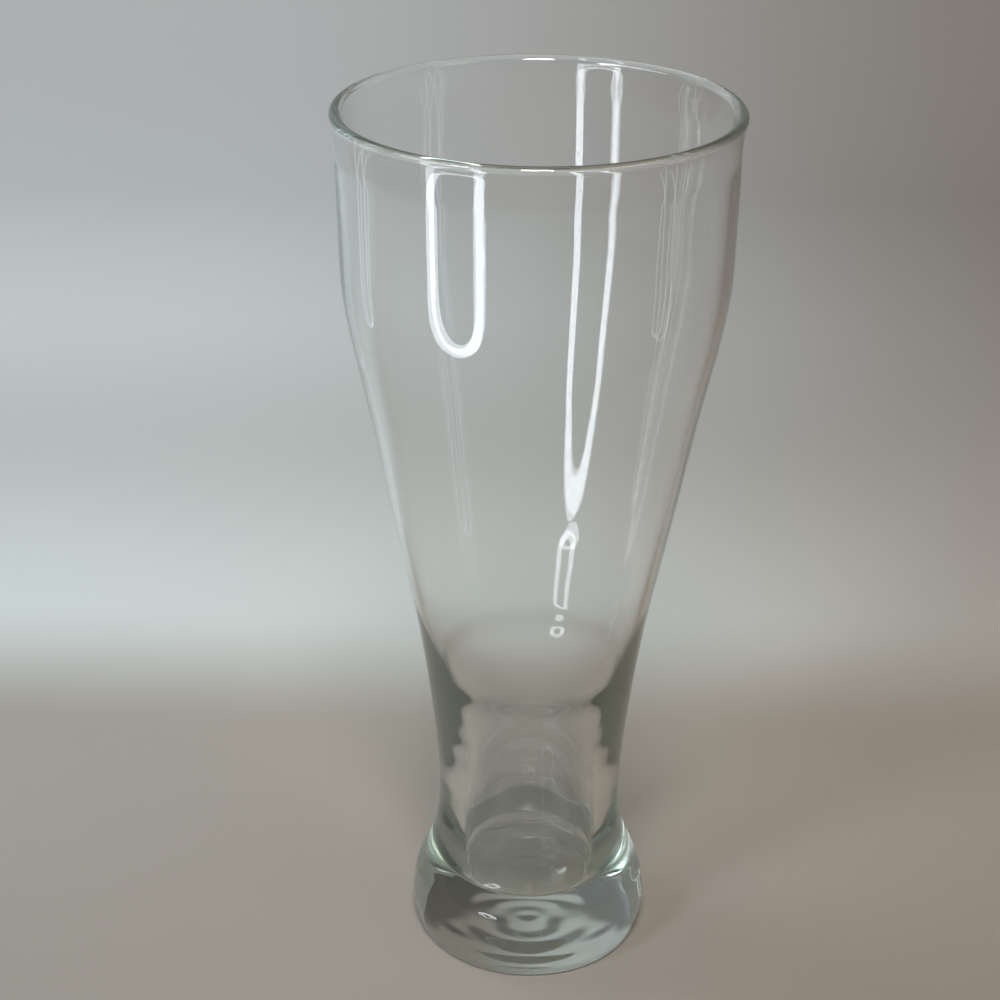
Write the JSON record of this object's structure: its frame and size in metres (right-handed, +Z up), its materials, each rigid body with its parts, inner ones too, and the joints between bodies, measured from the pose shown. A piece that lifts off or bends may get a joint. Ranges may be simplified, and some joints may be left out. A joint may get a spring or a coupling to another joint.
{
  "type": "pilsner glass",
  "caption": "Tall clear drinking glass with a thick solid foot, a narrow waist, a long taper and a nearly straight bowl with a rolled rim.",
  "frame": {"origin": "centre of the foot on the surface that the glass stands on", "axes": "+Z up along the axis of the glass; the glass is round, so +X and +Y are free"},
  "size_m": [0.0952, 0.0952, 0.222],
  "materials": {
    "glass": "clear soda-lime glass, fire-polished, with a faint grey-green tint where it is thick"
  },
  "bodies": {
    "root": {"rim_bead": "glass", "bowl": "glass", "taper": "glass", "waist": "glass", "foot": "glass"}
  },
  "joints": []
}
